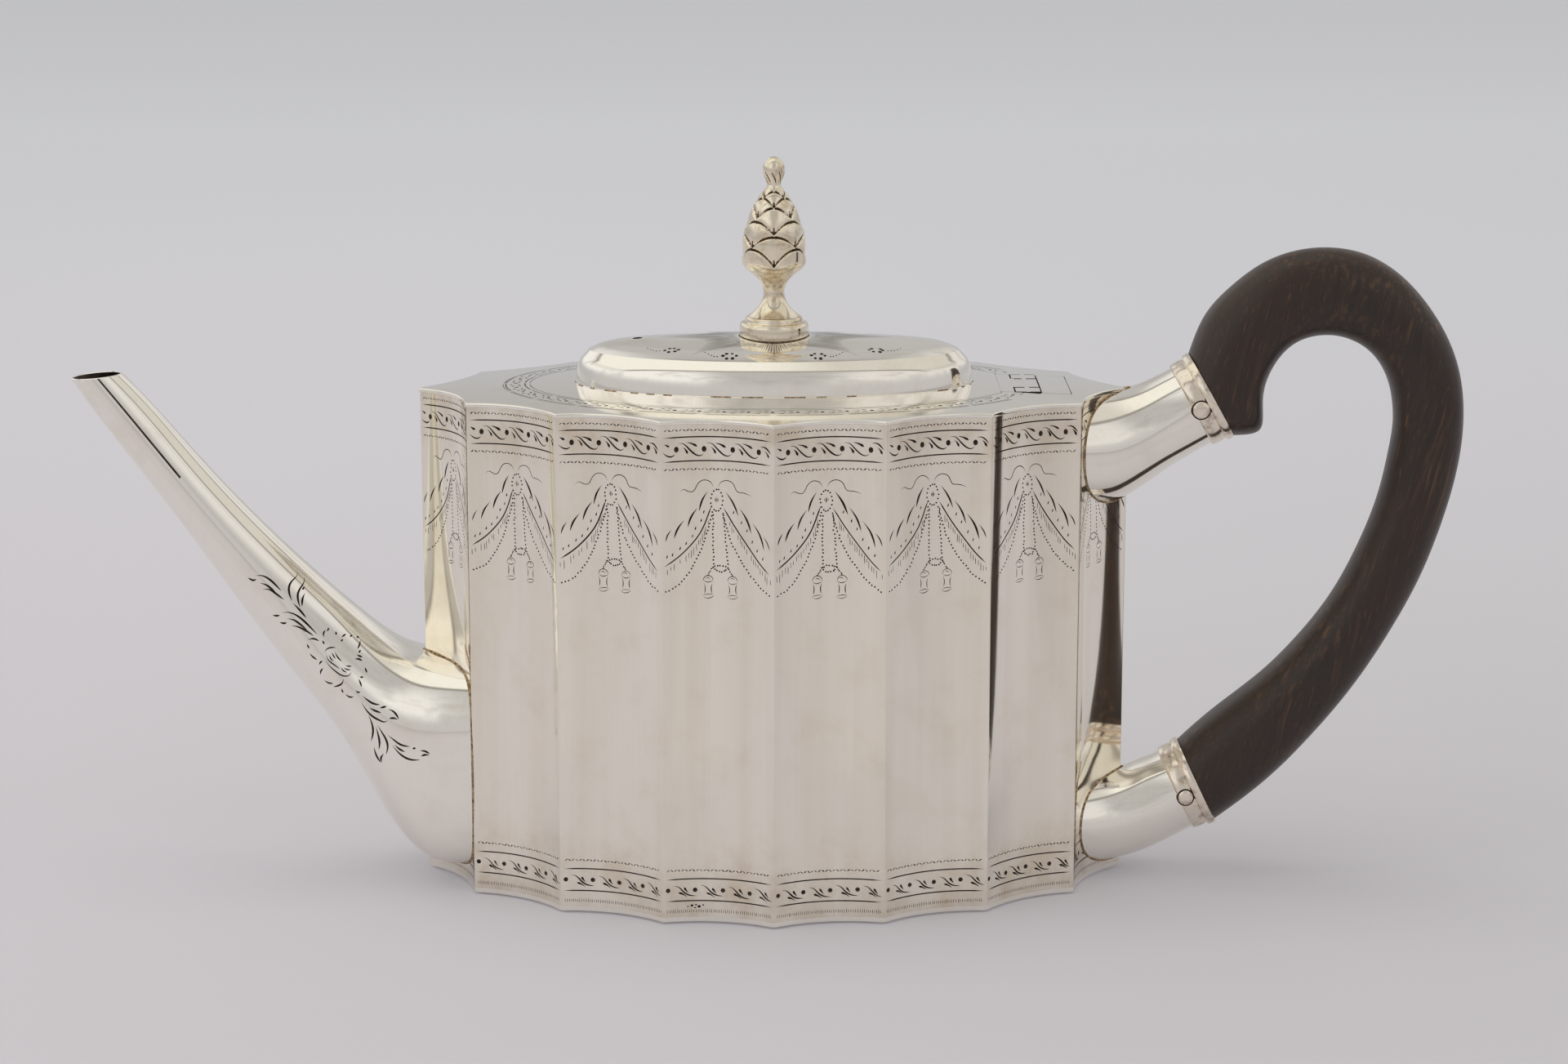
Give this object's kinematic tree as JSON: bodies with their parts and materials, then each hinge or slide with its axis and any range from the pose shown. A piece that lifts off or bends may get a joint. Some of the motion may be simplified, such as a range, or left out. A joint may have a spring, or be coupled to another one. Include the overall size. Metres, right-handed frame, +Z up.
{
  "type": "teapot",
  "caption": "Oval fluted sheet-metal teapot with straight tapering spout, flush hinged domed lid with pinecone finial, and a scrolled dark wood handle in two flared sockets.",
  "frame": {"origin": "centre of the oval base, on the surface the pot stands on", "axes": "+X towards the handle, the spout at -X, +Y away from the pictured side, +Z up"},
  "size_m": [0.281, 0.084, 0.1466],
  "materials": {
    "sheet_silver": "polished",
    "cast_silver": "polished",
    "wrought_silver": "satin",
    "dark_wood": "satin"
  },
  "bodies": {
    "pot": {"body_wall": "sheet_silver", "base_plate": "sheet_silver", "top_plate": "sheet_silver", "lid_rest_ring": "sheet_silver", "spout": "sheet_silver", "upper_socket": "sheet_silver", "lower_socket": "sheet_silver", "upper_collar": "cast_silver", "lower_collar": "cast_silver", "upper_pin": "wrought_silver", "lower_pin": "wrought_silver", "hinge_fixed_leaf": "wrought_silver", "hinge_gutter": "wrought_silver", "hinge_pin": "wrought_silver", "handle": "dark_wood"},
    "lid": {"lid_flange": "sheet_silver", "lid_dome": "sheet_silver", "hinge_lid_leaf": "wrought_silver", "finial_foot": "cast_silver", "finial_cone": "cast_silver", "finial_stud": "wrought_silver", "finial_washer": "wrought_silver", "finial_nut": "wrought_silver"}
  },
  "joints": [
    {"name": "lid_hinge", "type": "hinge", "parent": "pot", "child": "lid", "pos_m": [0.0505, 0, 0.10005], "axis": [0, 1, 0], "range_deg": [0, 100]}
  ]
}
